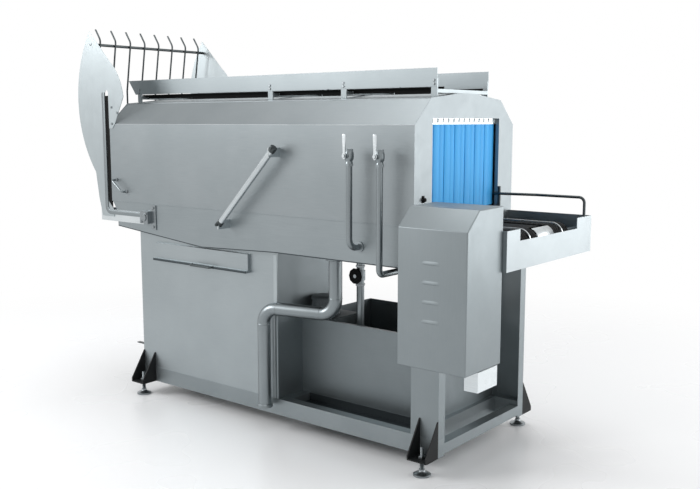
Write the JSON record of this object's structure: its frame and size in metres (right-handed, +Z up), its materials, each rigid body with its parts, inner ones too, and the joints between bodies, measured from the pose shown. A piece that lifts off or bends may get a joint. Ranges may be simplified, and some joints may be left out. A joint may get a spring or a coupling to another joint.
{
  "type": "crate tunnel washer",
  "caption": "Stainless conveyor washer for plastic crates: a hooded tunnel over a wash tank with belts, strip curtains, a turning end and a return rack on the roof.",
  "frame": {"origin": "on the floor below the middle of the machine's bounding box", "axes": "+X along the tunnel towards the infeed tray, -Y towards the operator's side with the control cabinet, +Z up"},
  "size_m": [2.7787, 1.138, 2.0287],
  "materials": {
    "stainless_sheet": "brushed",
    "stainless_bright": "polished",
    "cabinet_steel": "fine brushed",
    "dark_bracket": "satin",
    "belt_black": "matte",
    "curtain_blue": "translucent vinyl",
    "wheel_black": "matte",
    "pump_grey": "satin",
    "foot_steel": "turned"
  },
  "bodies": {
    "machine": {"base_frame": "stainless_sheet", "bay_ledge": "stainless_sheet", "bed_crossbars": "stainless_sheet", "cabinet_back_panel": "stainless_sheet", "cabinet_front_panel": "stainless_sheet", "cabinet_side_panels": "stainless_sheet", "cable_duct": "cabinet_steel", "chute_liners": "wheel_black", "circulation_pump": "pump_grey", "control_cabinet": "cabinet_steel", "conveyor_bed": "stainless_sheet", "conveyor_belts": "belt_black", "conveyor_shafts": "foot_steel", "crescent_plates": "stainless_sheet", "curtain_rails": "stainless_bright", "drain_cock": "stainless_bright", "drain_pipe": "stainless_bright", "drawer_runners": "stainless_sheet", "drive_bearing": "foot_steel", "foot_brackets": "dark_bracket", "guide_bar": "stainless_bright", "guide_strips": "stainless_bright", "hood_panels": "stainless_sheet", "hood_roof": "stainless_sheet", "infeed_end_frame": "stainless_sheet", "levelling_feet": "foot_steel", "middle_deck": "stainless_bright", "outfeed_end_frame": "stainless_sheet", "outfeed_floor": "stainless_sheet", "outfeed_side_plates": "stainless_sheet", "pull_handle": "stainless_bright", "rack_frame": "stainless_sheet", "rack_guides": "stainless_sheet", "rack_rails": "stainless_bright", "right_posts": "stainless_sheet", "rod_crossbars": "stainless_bright", "side_stay": "stainless_bright", "strip_curtains": "curtain_blue", "supply_pipes": "stainless_bright", "tank_cover": "stainless_sheet", "tray_end_plate": "stainless_sheet", "tray_floor": "stainless_sheet", "tray_sides": "stainless_sheet", "trough_floor": "stainless_sheet", "trough_walls": "stainless_sheet", "turning_rods": "stainless_bright", "valve_riser": "stainless_bright", "wash_tank": "stainless_sheet"},
    "filter_drawer": {"drawer_front": "stainless_sheet", "filter_tray": "stainless_sheet", "drawer_handle": "stainless_bright"},
    "left_lever": {"supply_lever_left": "stainless_bright"},
    "right_lever": {"supply_lever_right": "stainless_bright"},
    "valve_wheel": {"hand_wheel": "wheel_black"},
    "drain_handle": {"drain_lever": "stainless_bright"}
  },
  "joints": [
    {"name": "drawer_slide", "type": "slide", "parent": "machine", "child": "filter_drawer", "axis": [0, -1, 0], "range_m": [0, 0.45]},
    {"name": "left_supply_lever", "type": "hinge", "parent": "machine", "child": "left_lever", "pos_m": [0.6615, -0.4235, 1.367], "axis": [0, 1, 0], "range_deg": [0, 90]},
    {"name": "right_supply_lever", "type": "hinge", "parent": "machine", "child": "right_lever", "pos_m": [0.8265, -0.4235, 1.367], "axis": [0, 1, 0], "range_deg": [0, 90]},
    {"name": "valve_wheel_turn", "type": "hinge", "parent": "machine", "child": "valve_wheel", "pos_m": [0.4205, -0.0415, 0.768], "axis": [0, -1, 0], "range_deg": [-180, 180]},
    {"name": "drain_lever_turn", "type": "hinge", "parent": "machine", "child": "drain_handle", "pos_m": [-0.9615, -0.202, 0.2405], "axis": [0, 0, 1], "range_deg": [0, 90]}
  ]
}
